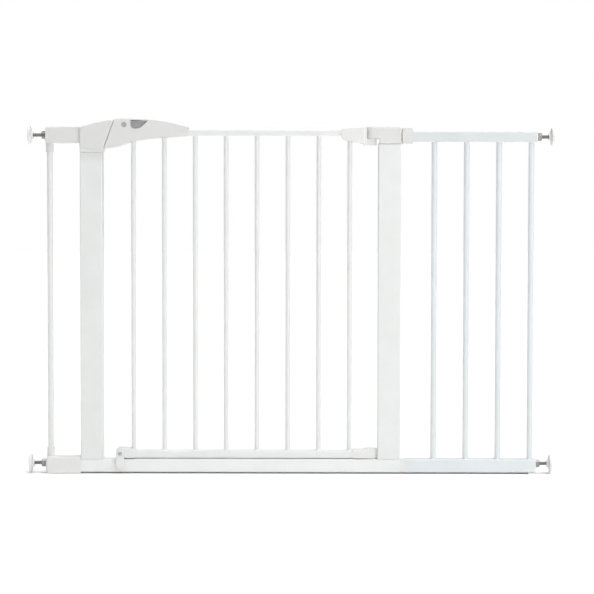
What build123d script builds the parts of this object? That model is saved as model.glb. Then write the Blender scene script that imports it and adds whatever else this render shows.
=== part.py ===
from build123d import *
import math
import os

# Safety baby gate: a steel frame that clamps between two walls, with a lockable door.
# Millimetres. X runs to the right, the front faces -Y, Z is up from the floor.
# The origin is at the bottom centre of the whole gate.

# ---- driving sizes: the whole gate ----
GATE_HEIGHT = 750.5
DOORWAY = 582.0  # clear width between the posts
LEFT_EXTENSION = 72.5  # left post to the outer end of its top bracket
RIGHT_EXTENSION = 286.0  # right post to the outer end of its rails
FIT = 0.3  # gap between pieces that move past each other
SEAT = 0.15  # gap around a piece pushed into another
CLEAR = 1.0  # how far a cut runs past the face that it opens
STEEL_WALL = 1.5
BAR_WALL = 1.2
PLASTIC_WALL = 3.0

# ---- posts and base ----
POST_WIDTH = 48.0
POST_DEPTH = 25.0
POST_ROUND = 3.0
BASE_HEIGHT = 31.0  # top of the bottom rails above the floor
BASE_RAISE = 3.4  # underside of the bottom rails above the floor
BASE_ROUND = 2.5
SPIGOT_LENGTH = 20.0  # plastic tongue inside a steel tube
FACE_ROUND = 1.5  # rounded edges of the small mouldings

# ---- wall spindles ----
ROD_RADIUS = 4.0
ROD_LENGTH = 84.0
ROD_RUNNING = 0.05  # radial clearance of the rod in its nut
THREAD_LEFT = 18.2  # rod between the pad's neck and the nut
THREAD_RIGHT = 15.1
ROD_TRAVEL_IN = 11.0  # how much further in the rod can be screwed
NUT_FLATS = 15.0
NUT_THICKNESS = 8.5
NUT_TURNED = 0.9  # nut's corners beyond its flats, after turning
PAD_RADIUS = 19.0
PAD_DISC = 5.0
PAD_NECK = 2.0
PAD_CONE = 3.0
PAD_ROUND = 2.0
PAD_NECK_RADIUS = 7.5
FACE_RADIUS = 16.0
FACE_THICKNESS = 2.5
FACE_PROUD = 0.6
SPINDLE_BELOW_TOP = 33.5  # upper spindle axis, left side
PAD_OFF_FLOOR = 2.5  # lower pads above the floor

# ---- left extension ----
SIDE_BAR_RADIUS = 6.0
SOCKET_RADIUS = 8.0
SOCKET_LENGTH = 19.0
BAR_SEAT = 6.0  # bar's end inside a bracket's body
BRACKET_HEIGHT = 34.0
BRACKET_DEPTH = 26.0
FOOT_BRACKET_HEIGHT = 35.5
FOOT_BRACKET_DEPTH = 31.0
BRACKET_ROUND = 2.0
FOOT_OVERHANG = 2.5  # lower bracket's outer end beyond the upper one
FOOT_END_ROUND = 8.0

# ---- right extension ----
PANEL_RAIL_HEIGHT = 21.3
PANEL_RAIL_DEPTH = 20.0
PANEL_RAIL_BELOW_TOP = 25.2
PANEL_BAR_COUNT = 4
PANEL_BAR_RADIUS = 6.0
PANEL_BAR_FIRST = 71.0  # first bar axis from the right post
PANEL_BAR_LAST = 10.0  # last bar axis from the rails' outer end
PLUG_CAP = 2.5
PLUG_FOOT = 14.0  # sole under the end of the bottom rail
CONNECTOR_GAP = 2.6  # housing to sleeve
CONNECTOR_SLEEVE = 21.3
CONNECTOR_WALL = 3.0
CONNECTOR_SEAT = 4.0  # rail's end inside the sleeve
CONNECTOR_ABOVE = 6.9  # sleeve above the rail
CONNECTOR_BELOW = 4.0
CONNECTOR_SPACER = 9.5  # plastic shown between the base rail and the panel's rail
SPACER_INSET = 0.8  # spacer below the rails' faces
WELD = 2.0  # fillet of weld where a bar meets a rail

# ---- door ----
DOOR_TOP_HEIGHT = 12.6
DOOR_TOP_BELOW = 22.0  # top of the door's top rail, below the gate's top
DOOR_FOOT_HEIGHT = 14.6
DOOR_FOOT_GAP = 3.5  # door's bottom rail above the base rail
DOOR_RAIL_DEPTH = 20.0
DOOR_BAR_COUNT = 8
DOOR_BAR_RADIUS = 5.0
DOOR_BAR_FIRST = 64.2  # first bar axis from the left post
DOOR_BAR_LAST = 60.0  # last bar axis from the right post

# ---- hinge ----
HINGE_INSET = 11.0  # axis from the right post, into the doorway
PIN_RADIUS = 3.0
PIN_RUNNING = 0.05
PIN_CHAMFER = 0.75
HOUSING_BELOW_TOP = 15.5
HOUSING_HEIGHT = 36.8
HOUSING_DEPTH = 26.0
NOSE_HEIGHT = 24.8
HOUSING_GROOVE_HEIGHT = 1.0  # groove around the housing's foot
HOUSING_GROOVE_DEPTH = 1.6
PIN_BELOW_CAP = 5.0  # top of the hinge pin below the top of its housing
WING_GAP = 1.5  # wing to nose, and wing to the housing's face when open
WING_LENGTH = 52.0
WING_DEPTH = 24.0
WING_SEAT = 20.0  # door rail's end, inside the wing
WING_ROUND = 6.5
WING_LIP = 1.5  # wing below the door's top rail, at its thin end
WING_CROWN = 2.5  # and above it
WING_BELLY = (13.0, 9.0)  # lower edge's bend, from the thin end and above the lowest point
WING_SWEEPS = ((-1, 0.12), (-0.35, 1))  # directions of the lower edge, at the bend and at the thin end
TONGUE_HEIGHT = 13.2
TONGUE_RADIUS = 7.3
LOWER_KNUCKLE_RADIUS = 10.0
LOWER_KNUCKLE_RISE = 2.5  # knuckle above the lower bracket's sleeve
LOWER_SLEEVE_RISE = 2.3  # lower bracket above the door's rail
LOWER_RAIL_GAP = 8.0  # door rail's end from the knuckle
LOWER_SLEEVE = 27.0
WASHER_THICKNESS = 1.2
WASHER_RADIUS = 7.0

# ---- lock housing and handle ----
LOCK_BELOW_TOP = 71.0  # housing's lower edge
LOCK_SHOULDER = 17.5  # housing's outer top corner, below the gate's top
LOCK_CROWN_RISE = 2.3  # bulge of the housing's top edge
LOCK_DEPTH = 38.0
SEAM_LEAN = 20.0  # degrees from vertical
SEAM_GAP = 0.7
SEAM_STEPS = 20  # rounds of the search for the seam's upper end
HANDLE_DEPTH = 40.0
HANDLE_LENGTH = 181.0  # left post to the handle's tip
HANDLE_CROWN = 440.0  # radius of the top edge
HANDLE_PEAK = 57.0  # highest point, from the left post
HANDLE_DROP = 60.8  # lowest point, below the gate's top
HANDLE_WAIST = 55.0  # where the lower edge sweeps up, from the left post
HANDLE_WAIST_RISE = 11.5
HANDLE_SWEEP = (-1, -0.12)  # direction in which the lower edge leaves the tip
HANDLE_TIP_LEAN = 4.0
HANDLE_ROUND = 3.0
CORNER_ROUND = 2.0
FACET_ANGLE = 2.6  # the arm's faces taper towards the tip
CREASE_LEAN = 42.0  # degrees, where the taper begins
HANDLE_BOSSES = ((30.0, 50.0), (78.0, 39.3), (130.0, 16.5))  # from the left post, below the gate's top
LOCK_BOSSES = ((14.0, 14.0), (34.0, 20.0))  # from the housing's lower left corner
COLLAR_STEP = 0.5  # housing's lower band behind its upper faces
COLLAR_LEFT = 12.7  # top of that band above the housing's foot, at the left
COLLAR_RIGHT = 4.8  # and at the right
COLLAR_SAG = 1.5
KEEPER_CLEAR = 0.8
KEEPER_WALL = 1.5
KEEPER_SINK = 0.6  # keeper's mouth behind the housing's leaning face
SCREW_RADIUS = 1.5
SCREW_HEAD = 3.0
SCREW_SINK = 2.0  # screw head below the rear face
SCREW_HEAD_HEIGHT = 1.8
SCREW_SLOT = 0.8
SCREW_SLOT_DEPTH = 0.7
SCREW_LENGTH = 20.0
BOSS_RADIUS = 4.0

# ---- bolt, thumb slide and button ----
BOLT_TRAVEL = 7.0
BOLT_HEIGHT = 9.0
BOLT_DEPTH = 10.0
BOLT_BELOW_TOP = 13.0  # bolt axis
BOLT_LENGTH = 66.0
BOLT_CHAMFER = 1.5
BOLT_RETREAT = 0.6  # bolt's tip inside the handle's end when drawn back
WINDOW_LEFT = 60.0  # from the left post
WINDOW_RIGHT = 97.0
WINDOW_BELOW_TOP = 3.2
WINDOW_HEIGHT = 17.6
WINDOW_FOOT = 10.0  # lowest point of the window from its left side
SLIDE_THICKNESS = 4.5
SLIDE_OVERLAP = 1.5  # slide behind the window's edges
SLIDE_CORNER = 7.0
SLIDE_ARM = 16.0
SLIDE_DROP = 1.4  # slide's top below the window's upper edge
SLIDE_GROOVES = 4
SLIDE_GROOVE_PITCH = 3.2
SLIDE_GROOVE_WIDTH = 1.0
SLIDE_GROOVE_DEPTH = 0.9
BUTTON_RADIUS = 4.85
BUTTON_INSET = 46.2  # axis from the left post
BUTTON_BELOW_TOP = 12.3
BUTTON_PROUD = 0.8
BUTTON_TRAVEL = 3.0
BUTTON_FLANGE = 6.4
BUTTON_FLANGE_THICKNESS = 1.5
BUTTON_ROUND = 0.8
BUTTON_SPRING_PRESSED = 3.5  # spring's length with the button pushed in
BUTTON_SPRING_RADIUS = 3.0
BUTTON_SPRING_TURNS = 5
RIB = 1.3  # thickness of the walls that the springs push against
SPRING_WIRE = 0.45  # radius
SPRING_ROOM = 24.0  # bolt's tail to the rib behind its spring, with the bolt drawn back
BOLT_SPRING_TURNS = 9
BOLT_SPRING_RADIUS = 3.5

# ---- swing stop ----
SLEEVE_INSET = 27.5  # foot sleeve's outer end, from the left post
SLEEVE_LENGTH = 39.9
SLEEVE_DEPTH = 28.0
SLEEVE_TOP = 55.0
SLEEVE_ROUND = 6.0
SLEEVE_HUMP = 2.0  # hump's top runs this far past the pivot
SLEEVE_BELOW = 1.5  # sleeve below the door's rail
SLEEVE_ABOVE = 3.5  # and above it, at its right end
STOP_INSET = 35.8  # pivot axis from the left post
STOP_HEIGHT = 42.5  # pivot axis above the floor
STOP_RADIUS = 8.7
STOP_REACH = 24.1  # pivot to the centre of the tab's round end
STOP_THICKNESS = 4.6
STOP_SCREW_RADIUS = 2.2
STOP_SCREW_HEAD = 4.4
STOP_SCREW_RISE = 1.4
STOP_SCREW_GRIP = 8.0  # shank inside the sleeve
STOP_SCREW_CROSS = 4.8
STOP_SCREW_SLOT = 0.9

# ---- places worked out from the sizes above ----
PAD_LENGTH = PAD_DISC + PAD_CONE + PAD_NECK
SPINDLE_ABOVE_FLOOR = min(PAD_RADIUS + PAD_OFF_FLOOR, BASE_HEIGHT - STEEL_WALL - ROD_RADIUS - 2 * FIT)
LEFT_REACH = FACE_PROUD + PAD_LENGTH + THREAD_LEFT + NUT_THICKNESS + FIT
RIGHT_REACH = FACE_PROUD + PAD_LENGTH + THREAD_RIGHT + NUT_THICKNESS + FIT + PLUG_CAP
FRAME_WIDTH = LEFT_EXTENSION + 2 * POST_WIDTH + DOORWAY + RIGHT_EXTENSION
WIDTH = LEFT_REACH + FRAME_WIDTH + RIGHT_REACH
LEFT_END = -WIDTH / 2 + LEFT_REACH
POST_L0 = LEFT_END + LEFT_EXTENSION
POST_L1 = POST_L0 + POST_WIDTH
POST_R0 = POST_L1 + DOORWAY
POST_R1 = POST_R0 + POST_WIDTH
FOOT_END = LEFT_END - FOOT_OVERHANG
PANEL_END = POST_R1 + RIGHT_EXTENSION
RIGHT_END = PANEL_END + PLUG_CAP
HINGE_X = POST_R0 - HINGE_INSET
LOCK_Z = GATE_HEIGHT - LOCK_BELOW_TOP
HOUSING_TOP = GATE_HEIGHT - HOUSING_BELOW_TOP
HOUSING_Z = HOUSING_TOP - HOUSING_HEIGHT
NOSE_Z = HOUSING_TOP - NOSE_HEIGHT
DOOR_TOP_Z1 = GATE_HEIGHT - DOOR_TOP_BELOW
DOOR_TOP_Z0 = DOOR_TOP_Z1 - DOOR_TOP_HEIGHT
DOOR_FOOT_Z0 = BASE_HEIGHT + DOOR_FOOT_GAP
DOOR_FOOT_Z1 = DOOR_FOOT_Z0 + DOOR_FOOT_HEIGHT
PANEL_TOP_Z1 = GATE_HEIGHT - PANEL_RAIL_BELOW_TOP
PANEL_TOP_Z0 = PANEL_TOP_Z1 - PANEL_RAIL_HEIGHT
SPINDLE_Z_LEFT = GATE_HEIGHT - SPINDLE_BELOW_TOP
SPINDLE_Z_RIGHT = (PANEL_TOP_Z0 + PANEL_TOP_Z1) / 2
BOLT_Z = GATE_HEIGHT - BOLT_BELOW_TOP
HANDLE_TIP = POST_L1 + HANDLE_LENGTH
BRACKET_Z1 = SPINDLE_Z_LEFT + BRACKET_HEIGHT / 2
BRACKET_Z0 = SPINDLE_Z_LEFT - BRACKET_HEIGHT / 2
WING_FACE = HINGE_X - HOUSING_DEPTH / 2 - WING_GAP
STOP_X = POST_L1 + STOP_INSET
BUTTON_X = POST_L1 + BUTTON_INSET
BUTTON_Z = GATE_HEIGHT - BUTTON_BELOW_TOP
BUTTON_SPRING_LENGTH = BUTTON_SPRING_PRESSED + BUTTON_TRAVEL


# ---- shared shapes ----
def block(x0, x1, y0, y1, z0, z1):
    return Pos((x0 + x1) / 2, (y0 + y1) / 2, (z0 + z1) / 2) * Box(x1 - x0, y1 - y0, z1 - z0)


def round_x(radius, x0, x1, y, z):
    return Pos((x0 + x1) / 2, y, z) * Rot(0, 90, 0) * Cylinder(radius, x1 - x0)


def round_y(radius, y0, y1, x, z):
    return Pos(x, (y0 + y1) / 2, z) * Rot(90, 0, 0) * Cylinder(radius, y1 - y0)


def round_z(radius, z0, z1, x, y=0.0):
    return Pos(x, y, (z0 + z1) / 2) * Cylinder(radius, z1 - z0)


def face_xz(edges):
    """A closed outline in X and Z, made into an upright face."""
    return make_face([Plane.XZ * edge for edge in edges])


def slab(edges, y0, y1):
    """An outline in X and Z, made into a plate between two depths."""
    return Pos(0, y0, 0) * extrude(face_xz(edges), amount=y1 - y0, dir=(0, 1, 0))


def soften(solid, radius, axis=Axis.X):
    return fillet(solid.edges().filter_by(axis), radius)


def front_half(solid):
    return solid & block(-WIDTH, WIDTH, -WIDTH, 0, -WIDTH, 2 * GATE_HEIGHT)


def rear_half(solid):
    return solid & block(-WIDTH, WIDTH, 0, WIDTH, -WIDTH, 2 * GATE_HEIGHT)


def round_sides(solid, radius):
    """Rounds the edges of the frontmost face, then those of the rearmost."""
    solid = fillet(solid.faces().sort_by(Axis.Y)[0].edges(), radius)
    return fillet(solid.faces().sort_by(Axis.Y)[-1].edges(), radius)


def rail_x(x0, x1, z0, z1, depth, radius=BASE_ROUND):
    """A horizontal steel box tube with rounded corners, open at both ends."""
    outer = soften(block(x0, x1, -depth / 2, depth / 2, z0, z1), radius)
    half = depth / 2 - STEEL_WALL
    inner = block(x0 - CLEAR, x1 + CLEAR, -half, half, z0 + STEEL_WALL, z1 - STEEL_WALL)
    return outer - soften(inner, radius - STEEL_WALL / 2)


def welded_bar(x, z0, z1, radius):
    """A round tube between two rails, flared by the weld at each end."""
    bore = radius - BAR_WALL
    half = [
        Line((bore, z0), (radius + WELD, z0)),
        CenterArc((radius + WELD, z0 + WELD), WELD, 180, 90),
        Line((radius, z0 + WELD), (radius, z1 - WELD)),
        CenterArc((radius + WELD, z1 - WELD), WELD, 90, 90),
        Line((radius + WELD, z1), (bore, z1)),
        Line((bore, z1), (bore, z0)),
    ]
    return Pos(x, 0, 0) * revolve(face_xz(half), Axis.Z)


def coil(radius, length, turns):
    """A helical compression spring along +X from the origin."""
    path = Helix(pitch=length / turns, height=length, radius=radius)
    section = (path ^ 0) * Circle(SPRING_WIRE)
    return Rot(0, 90, 0) * sweep(section, path=path, is_frenet=True)


def seam_x(z, shift=0.0):
    """The leaning line between lock housing and handle, moved right by a gap square to it."""
    lean = math.radians(SEAM_LEAN)
    return POST_L1 + (z - LOCK_Z) * math.tan(lean) + shift / math.cos(lean)


def crown_z(x, inset=0.0):
    """Height of the handle's curved top edge, or of a line inset from it."""
    run = x - POST_L1 - HANDLE_PEAK
    return GATE_HEIGHT - HANDLE_CROWN + math.sqrt((HANDLE_CROWN - inset) ** 2 - run**2)


def crown_end(shift, inset=0.0):
    """Where the leaning seam meets the curved top edge."""
    z = GATE_HEIGHT
    for _ in range(SEAM_STEPS):
        z = crown_z(seam_x(z, shift), inset)
    return (seam_x(z, shift), z)


# ---- frame ----
def post(x0, top):
    tube = block(x0, x0 + POST_WIDTH, -POST_DEPTH / 2, POST_DEPTH / 2, BASE_HEIGHT, top)
    outer = soften(tube, POST_ROUND, Axis.Z)
    inner = block(
        x0 + STEEL_WALL,
        x0 + POST_WIDTH - STEEL_WALL,
        STEEL_WALL - POST_DEPTH / 2,
        POST_DEPTH / 2 - STEEL_WALL,
        BASE_HEIGHT - CLEAR,
        top + CLEAR,
    )
    return outer - soften(inner, POST_ROUND - STEEL_WALL, Axis.Z)


def post_spigot(x0, top):
    """The plastic tongue that a housing pushes down into a post, rooted in the housing's floor."""
    gap = STEEL_WALL + SEAT
    half = POST_DEPTH / 2 - gap
    root = top + PLASTIC_WALL / 2
    tongue = block(x0 + gap, x0 + POST_WIDTH - gap, -half, half, top - SPIGOT_LENGTH, root)
    return soften(tongue, POST_ROUND - STEEL_WALL, Axis.Z)


def rail_spigot(x0, x1, z0, z1, depth):
    """A plastic tongue inside a horizontal tube."""
    gap = STEEL_WALL + SEAT
    tongue = block(x0, x1, gap - depth / 2, depth / 2 - gap, z0 + gap, z1 - gap)
    return soften(tongue, BASE_ROUND - STEEL_WALL / 2)


def base_rail():
    return rail_x(POST_L0, POST_R1, BASE_RAISE, BASE_HEIGHT, POST_DEPTH) - round_z(
        PIN_RADIUS, BASE_HEIGHT - STEEL_WALL - CLEAR, BASE_HEIGHT + CLEAR, HINGE_X
    )


def lower_hinge_pin():
    """A stud with its head inside the base rail."""
    head_top = BASE_HEIGHT - STEEL_WALL
    head = round_z(2 * PIN_RADIUS, head_top - PIN_RADIUS, head_top, HINGE_X)
    shaft = round_z(PIN_RADIUS, head_top, DOOR_FOOT_Z1, HINGE_X)
    return head + chamfer(shaft.edges().group_by(Axis.Z)[-1], PIN_CHAMFER)


def hinge_washer():
    top = BASE_HEIGHT + WASHER_THICKNESS
    ring = round_z(WASHER_RADIUS, BASE_HEIGHT, top, HINGE_X)
    return ring - round_z(PIN_RADIUS + SEAT, BASE_HEIGHT - CLEAR, top + CLEAR, HINGE_X)


# ---- lock housing ----
def lock_outline(inset=0.0):
    """The housing's outline, or one inset from it by a wall."""
    left = POST_L0 + inset
    low = LOCK_Z + inset
    corner = (left, GATE_HEIGHT - LOCK_SHOULDER - inset)
    peak = crown_end(-inset, inset)
    foot = (seam_x(low, -inset), low)
    return [
        Line((left, low), corner),
        SagittaArc(corner, peak, LOCK_CROWN_RISE),
        Line(peak, foot),
        Line(foot, (left, low)),
    ]


def collar_band():
    """Everything below a curve across the foot of the housing."""
    left = POST_L0 - SPIGOT_LENGTH
    right = POST_L1 + SPIGOT_LENGTH
    low = LOCK_Z - SPIGOT_LENGTH
    corner = (POST_L0, LOCK_Z + COLLAR_LEFT)
    far = (POST_L1, LOCK_Z + COLLAR_RIGHT)
    edges = [
        Line((left, low), (left, corner[1])),
        Line((left, corner[1]), corner),
        SagittaArc(corner, far, -COLLAR_SAG),
        Line(far, (right, far[1])),
        Line((right, far[1]), (right, low)),
        Line((right, low), (left, low)),
    ]
    return slab(edges, -LOCK_DEPTH, LOCK_DEPTH)


def lock_body(inset=0.0):
    half = LOCK_DEPTH / 2 - inset
    body = slab(lock_outline(inset), -half, half)
    if inset:
        return body
    body = round_sides(fillet(body.edges().filter_by(Axis.Y), CORNER_ROUND), HANDLE_ROUND)
    return body - (collar_band() - lock_body(COLLAR_STEP))


def bolt_block(x0, x1, grow=0.0):
    """A block of the bolt's cross-section, or of a larger one."""
    half_y = BOLT_DEPTH / 2 + grow
    half_z = BOLT_HEIGHT / 2 + grow
    return block(x0, x1, -half_y, half_y, BOLT_Z - half_z, BOLT_Z + half_z)


def keeper_room(grow):
    """The space that the bolt's tip enters."""
    x1 = seam_x(BOLT_Z)
    return bolt_block(x1 - BOLT_TRAVEL - grow, x1 + BOLT_TRAVEL, grow)


def keeper():
    """A steel cup behind the housing's leaning face."""
    face = slab(lock_outline(KEEPER_SINK), -LOCK_DEPTH / 2, LOCK_DEPTH / 2)
    return (keeper_room(KEEPER_CLEAR + KEEPER_WALL) & face) - keeper_room(KEEPER_CLEAR)


def bracket_socket():
    """Half sizes of the left top bracket's tongue."""
    half_y = BRACKET_DEPTH / 2 - BRACKET_ROUND - SEAT
    half_z = BRACKET_HEIGHT / 2 - 2 * BRACKET_ROUND
    return half_y, half_z


def lock_screw_places():
    return [(POST_L0 + x, LOCK_Z + z) for x, z in LOCK_BOSSES]


def screw(x, z, head_y, length):
    """A pan-head screw driven from the rear, pointing at the front."""
    head = round_y(SCREW_HEAD, head_y - SCREW_HEAD_HEIGHT, head_y, x, z)
    shank = round_y(SCREW_RADIUS, head_y - SCREW_HEAD_HEIGHT - length, head_y - SCREW_HEAD_HEIGHT, x, z)
    for half_x, half_z in ((SCREW_HEAD, SCREW_SLOT / 2), (SCREW_SLOT / 2, SCREW_HEAD)):
        head = head - block(
            x - half_x, x + half_x, head_y - SCREW_SLOT_DEPTH, head_y + CLEAR, z - half_z, z + half_z
        )
    return head + shank


def split_case(body, hollow, half_depth, places):
    """Front and rear shells of a hollow case, with screw bosses between them."""
    shell = body - hollow
    for x, z in places:
        shell = shell + (round_y(BOSS_RADIUS, -half_depth, half_depth, x, z) & body)
    for x, z in places:
        head_y = half_depth - SCREW_SINK
        shell = shell - round_y(SCREW_RADIUS, head_y - SCREW_HEAD_HEIGHT - SCREW_LENGTH, head_y, x, z)
        shell = shell - round_y(SCREW_HEAD + SEAT, head_y - SCREW_HEAD_HEIGHT, half_depth + CLEAR, x, z)
    return front_half(shell), rear_half(shell)


def lock_shells():
    body = lock_body()
    hollow = lock_body(PLASTIC_WALL)
    half_y, half_z = bracket_socket()
    tongue_hole = block(
        POST_L0 - CLEAR,
        POST_L0 + SPIGOT_LENGTH + CLEAR,
        -half_y - SEAT,
        half_y + SEAT,
        SPINDLE_Z_LEFT - half_z - SEAT,
        SPINDLE_Z_LEFT + half_z + SEAT,
    )
    cuts = keeper_room(KEEPER_CLEAR + KEEPER_WALL + SEAT) + tongue_hole
    front, rear = split_case(body, hollow, LOCK_DEPTH / 2, lock_screw_places())
    spigot = post_spigot(POST_L0, LOCK_Z)
    return front - cuts + front_half(spigot), rear - cuts + rear_half(spigot)


# ---- handle ----
def handle_outline(inset=0.0):
    """The handle's outline, or one inset from it by a wall."""
    start_z = GATE_HEIGHT - HANDLE_DROP + inset
    start = (seam_x(start_z, SEAM_GAP + inset), start_z)
    peak = crown_end(SEAM_GAP + inset, inset)
    tip_x = HANDLE_TIP - inset
    tip_top = (tip_x, crown_z(tip_x, inset))
    middle_x = (peak[0] + tip_x) / 2
    tip_foot = (tip_x - HANDLE_TIP_LEAN, DOOR_TOP_Z0 + inset)
    waist = (POST_L1 + HANDLE_WAIST, start_z + HANDLE_WAIST_RISE)
    return [
        Line(start, peak),
        ThreePointArc(peak, (middle_x, crown_z(middle_x, inset)), tip_top),
        Line(tip_top, tip_foot),
        Spline(tip_foot, waist, start, tangents=[HANDLE_SWEEP, (-1, 0)]),
    ]


def facet_cut(side, inset=0.0):
    """A big wedge that tapers the arm's face from a crease that leans like the thumb window's edge."""
    crease_x = POST_L1 + WINDOW_RIGHT
    reach = 2 * HANDLE_LENGTH
    wedge = block(0, reach, 0, reach, -reach, reach)
    tilt = Rot(0, 0, -FACET_ANGLE)
    lean = Rot(0, CREASE_LEAN, 0)
    place = Pos(crease_x, HANDLE_DEPTH / 2 - inset, GATE_HEIGHT)
    cut = place * lean * tilt * wedge
    if side < 0:
        cut = mirror(cut, Plane.XZ)
    return cut


def handle_body(inset=0.0):
    half = HANDLE_DEPTH / 2 - inset
    body = slab(handle_outline(inset), -half, half)
    for side in (-1, 1):
        body = body - facet_cut(side, inset)
    return body


def window_outline():
    """The half-moon thumb window: upright left side, round foot, sloping right side."""
    x0 = POST_L1 + WINDOW_LEFT
    x1 = POST_L1 + WINDOW_RIGHT
    z1 = GATE_HEIGHT - WINDOW_BELOW_TOP
    z0 = z1 - WINDOW_HEIGHT
    shoulder = (x0, z0 + WINDOW_HEIGHT / 2)
    return [
        Line((x0, z1), shoulder),
        Spline(shoulder, (x0 + WINDOW_FOOT, z0), (x1, z1), tangents=[(0, -1), (1, 1)]),
        Line((x1, z1), (x0, z1)),
    ]


def handle_screw_places():
    return [(POST_L1 + x, GATE_HEIGHT - z) for x, z in HANDLE_BOSSES]


def door_bar_xs():
    first = POST_L1 + DOOR_BAR_FIRST
    pitch = (DOORWAY - DOOR_BAR_FIRST - DOOR_BAR_LAST) / (DOOR_BAR_COUNT - 1)
    return [first + i * pitch for i in range(DOOR_BAR_COUNT)]


def door_rail_start():
    return door_bar_xs()[0] - DOOR_BAR_RADIUS - WELD


def handle_shells():
    body = handle_body()
    hollow = handle_body(PLASTIC_WALL)
    front, rear = split_case(body, hollow, HANDLE_DEPTH / 2, handle_screw_places())
    half = DOOR_RAIL_DEPTH / 2 + SEAT
    cuts = block(
        door_rail_start() - CLEAR, HANDLE_TIP + CLEAR, -half, half, DOOR_TOP_Z0 - SEAT, DOOR_TOP_Z1 + SEAT
    )
    for x in door_bar_xs():
        if x - DOOR_BAR_RADIUS < HANDLE_TIP:
            cuts = cuts + round_z(DOOR_BAR_RADIUS + WELD + SEAT, GATE_HEIGHT / 2, DOOR_TOP_Z0, x)
    cuts = cuts + bolt_block(POST_L1, BUTTON_X, FIT)
    window = slab(window_outline(), -HANDLE_DEPTH, PLASTIC_WALL - HANDLE_DEPTH / 2)
    button = round_y(BUTTON_RADIUS + FIT, -HANDLE_DEPTH, PLASTIC_WALL - HANDLE_DEPTH / 2, BUTTON_X, BUTTON_Z)
    rib = spring_seat()
    front = front - cuts - window - button + front_half(rib) + button_seat()
    return front, rear - cuts + rear_half(rib)


# ---- bolt, thumb slide and button ----
def bolt_tip():
    """Left end of the bolt when it is drawn back."""
    return seam_x(BOLT_Z + BOLT_HEIGHT / 2, SEAM_GAP) + BOLT_RETREAT


def spring_seat():
    """A rib across the handle that the bolt's spring pushes against."""
    x0 = bolt_tip() + BOLT_LENGTH + SPRING_ROOM
    half_y = HANDLE_DEPTH / 2 - PLASTIC_WALL
    low = DOOR_TOP_Z1 + 3 * FIT
    return block(x0, x0 + RIB, -half_y, half_y, low, GATE_HEIGHT) & handle_body(PLASTIC_WALL)


def lock_bolt():
    bar = bolt_block(bolt_tip(), bolt_tip() + BOLT_LENGTH)
    return chamfer(bar.faces().sort_by(Axis.X)[0].edges(), BOLT_CHAMFER)


def thumb_slide():
    """A grooved plate behind the half-moon window, wide enough to fill it over the whole travel."""
    x0 = POST_L1 + WINDOW_LEFT - SLIDE_OVERLAP
    x1 = POST_L1 + WINDOW_RIGHT + BOLT_TRAVEL + SLIDE_OVERLAP
    z1 = GATE_HEIGHT - WINDOW_BELOW_TOP - SLIDE_DROP
    z0 = z1 + SLIDE_DROP - WINDOW_HEIGHT - SLIDE_OVERLAP
    face_y = PLASTIC_WALL - HANDLE_DEPTH / 2 + FIT
    plate = block(x0, x1, face_y, face_y + SLIDE_THICKNESS, z0, z1)
    corner = plate.edges().filter_by(Axis.Y).sort_by(lambda e: e.center().X + e.center().Z)[0]
    plate = chamfer(corner, SLIDE_CORNER)
    room = handle_body(PLASTIC_WALL + FIT)
    plate = plate & room & (Pos(BOLT_TRAVEL, 0, 0) * room)
    for i in range(SLIDE_GROOVES):
        top = z1 - (i + 1) * SLIDE_GROOVE_PITCH
        plate = plate - block(x0, x1, face_y, face_y + SLIDE_GROOVE_DEPTH, top - SLIDE_GROOVE_WIDTH, top)
    arm_x = bolt_tip() + BOLT_LENGTH
    half_z = BOLT_HEIGHT / 2 - FIT
    arm = block(
        arm_x - SLIDE_ARM, arm_x, face_y + SLIDE_THICKNESS, -BOLT_DEPTH / 2, BOLT_Z - half_z, BOLT_Z + half_z
    )
    return plate + arm


def bolt_spring():
    slack = SPRING_WIRE + SEAT
    start = Pos(bolt_tip() + BOLT_LENGTH + slack, 0, BOLT_Z)
    return start * coil(BOLT_SPRING_RADIUS, SPRING_ROOM - 2 * slack, BOLT_SPRING_TURNS)


def button_flange_y():
    return PLASTIC_WALL - HANDLE_DEPTH / 2 + FIT


def release_button():
    """A round push button, with a flange behind the handle's wall that is cut off beside the thumb slide."""
    face_y = -HANDLE_DEPTH / 2 - BUTTON_PROUD
    rear_y = button_flange_y() + BUTTON_FLANGE_THICKNESS
    stem = round_y(BUTTON_RADIUS, face_y, rear_y, BUTTON_X, BUTTON_Z)
    stem = fillet(stem.edges().sort_by(Axis.Y)[0], BUTTON_ROUND)
    flange = round_y(BUTTON_FLANGE, button_flange_y(), rear_y, BUTTON_X, BUTTON_Z)
    slide_side = BUTTON_X + BUTTON_RADIUS
    return stem + (flange - block(slide_side, slide_side + BUTTON_FLANGE, -HANDLE_DEPTH, 0, 0, GATE_HEIGHT))


def button_spring():
    start_y = button_flange_y() + BUTTON_FLANGE_THICKNESS + SPRING_WIRE
    spring = coil(BUTTON_SPRING_RADIUS, BUTTON_SPRING_LENGTH - 2 * SPRING_WIRE, BUTTON_SPRING_TURNS)
    return Pos(BUTTON_X, start_y, BUTTON_Z) * Rot(0, 0, 90) * spring


def button_seat():
    """A shelf from the handle's top wall, behind the button's spring and in front of the bolt."""
    y0 = button_flange_y() + BUTTON_FLANGE_THICKNESS + BUTTON_SPRING_LENGTH + SEAT
    x0 = BUTTON_X - BUTTON_FLANGE
    x1 = BUTTON_X + BUTTON_FLANGE
    shelf = block(x0, x1, y0, y0 + RIB, BUTTON_Z - BUTTON_FLANGE, GATE_HEIGHT)
    return shelf & handle_body(PLASTIC_WALL)


# ---- door ----
def door_top_rail():
    return rail_x(door_rail_start(), WING_FACE - WING_SEAT, DOOR_TOP_Z0, DOOR_TOP_Z1, DOOR_RAIL_DEPTH)


def door_foot_start():
    return STOP_X + STOP_SCREW_RADIUS + PLASTIC_WALL


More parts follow.
